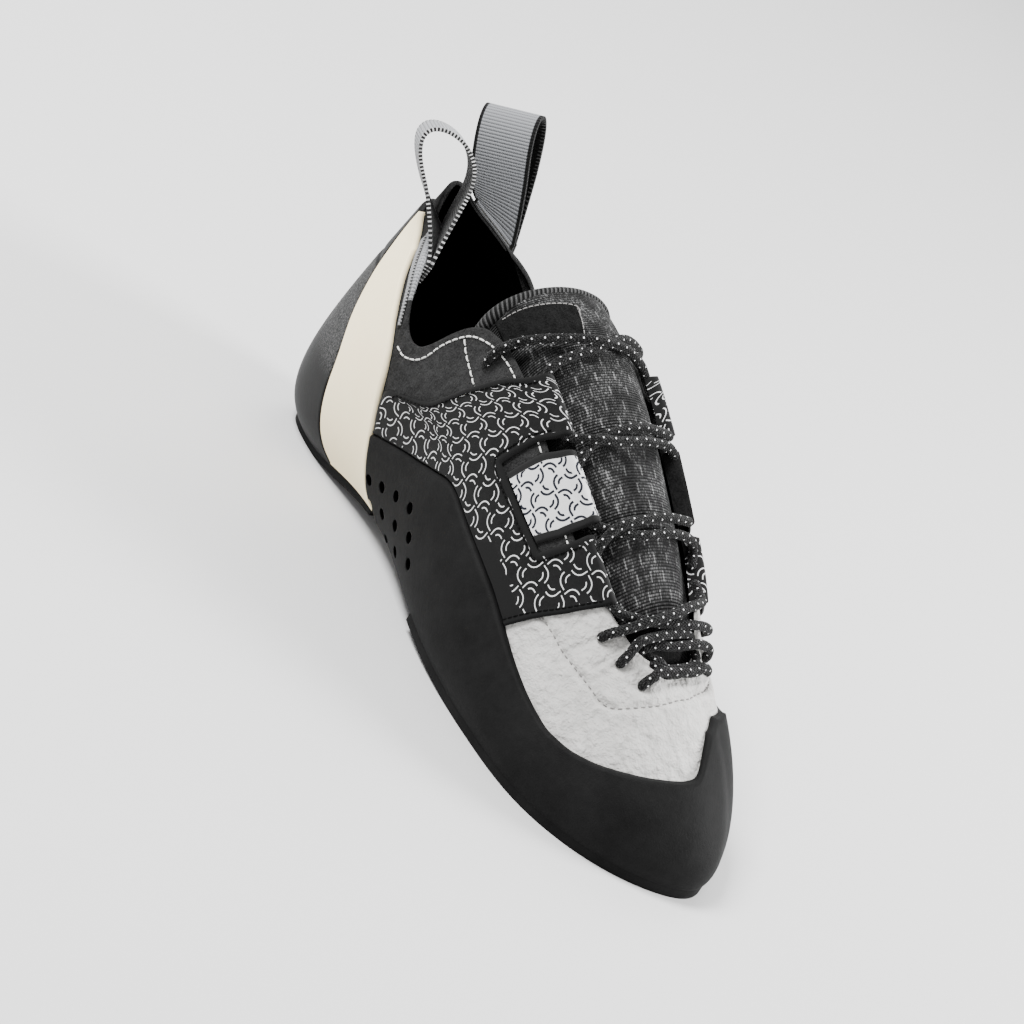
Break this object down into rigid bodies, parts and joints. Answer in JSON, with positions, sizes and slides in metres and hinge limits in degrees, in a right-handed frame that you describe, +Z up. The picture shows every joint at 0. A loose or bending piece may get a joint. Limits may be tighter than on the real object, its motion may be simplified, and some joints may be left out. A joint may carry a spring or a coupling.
{
  "type": "climbing shoe",
  "caption": "Lace-up climbing shoe for the right foot with a rubber rand, a heel band, printed lace overlays, a padded tongue and webbing pull loops.",
  "frame": {"origin": "middle of the heel's flat spot on the floor", "axes": "+X towards the toe, +Y towards the inner side of the right foot, +Z up"},
  "size_m": [0.2519, 0.0822, 0.1339],
  "materials": {
    "upper": "white-grey suede, with a black suede collar",
    "outsole_front": "matt black rubber",
    "outsole_heel": "matt black rubber",
    "midsole": "stiff black board",
    "insole": "dark grey lining",
    "rand": "matt mottled black rubber",
    "heel_cup": "matt black rubber",
    "slingshot_band_lateral": "smooth cream rubber",
    "slingshot_band_medial": "smooth cream rubber",
    "overlay_lateral": "black microfibre with a light line print",
    "overlay_medial": "black microfibre with a light line print",
    "middle_tab_lateral": "white microfibre with a dark line print",
    "middle_tab_medial": "black suede",
    "tongue": "dark speckled knit",
    "tongue_binding": "ribbed dark binding",
    "tongue_patch": "dark grey suede",
    "lace_crossing_1": "round black cord with white flecks",
    "lace_crossing_2": "round black cord with white flecks",
    "lace_crossing_3": "round black cord with white flecks",
    "lace_crossing_4": "round black cord with white flecks",
    "lace_bar_1": "round black cord with white flecks",
    "lace_bar_2": "round black cord with white flecks",
    "lace_bar_3": "round black cord with white flecks",
    "pull_loop_lateral": "grey ribbed webbing",
    "pull_loop_medial": "grey ribbed webbing"
  },
  "bodies": {
    "root": {"upper": "upper", "outsole_front": "outsole_front", "outsole_heel": "outsole_heel", "midsole": "midsole", "insole": "insole", "rand": "rand", "heel_cup": "heel_cup", "slingshot_band_lateral": "slingshot_band_lateral", "slingshot_band_medial": "slingshot_band_medial", "overlay_lateral": "overlay_lateral", "overlay_medial": "overlay_medial", "middle_tab_lateral": "middle_tab_lateral", "middle_tab_medial": "middle_tab_medial", "tongue": "tongue", "tongue_binding": "tongue_binding", "tongue_patch": "tongue_patch", "lace_crossing_1": "lace_crossing_1", "lace_crossing_2": "lace_crossing_2", "lace_crossing_3": "lace_crossing_3", "lace_crossing_4": "lace_crossing_4", "lace_bar_1": "lace_bar_1", "lace_bar_2": "lace_bar_2", "lace_bar_3": "lace_bar_3", "pull_loop_lateral": "pull_loop_lateral", "pull_loop_medial": "pull_loop_medial"}
  },
  "joints": []
}
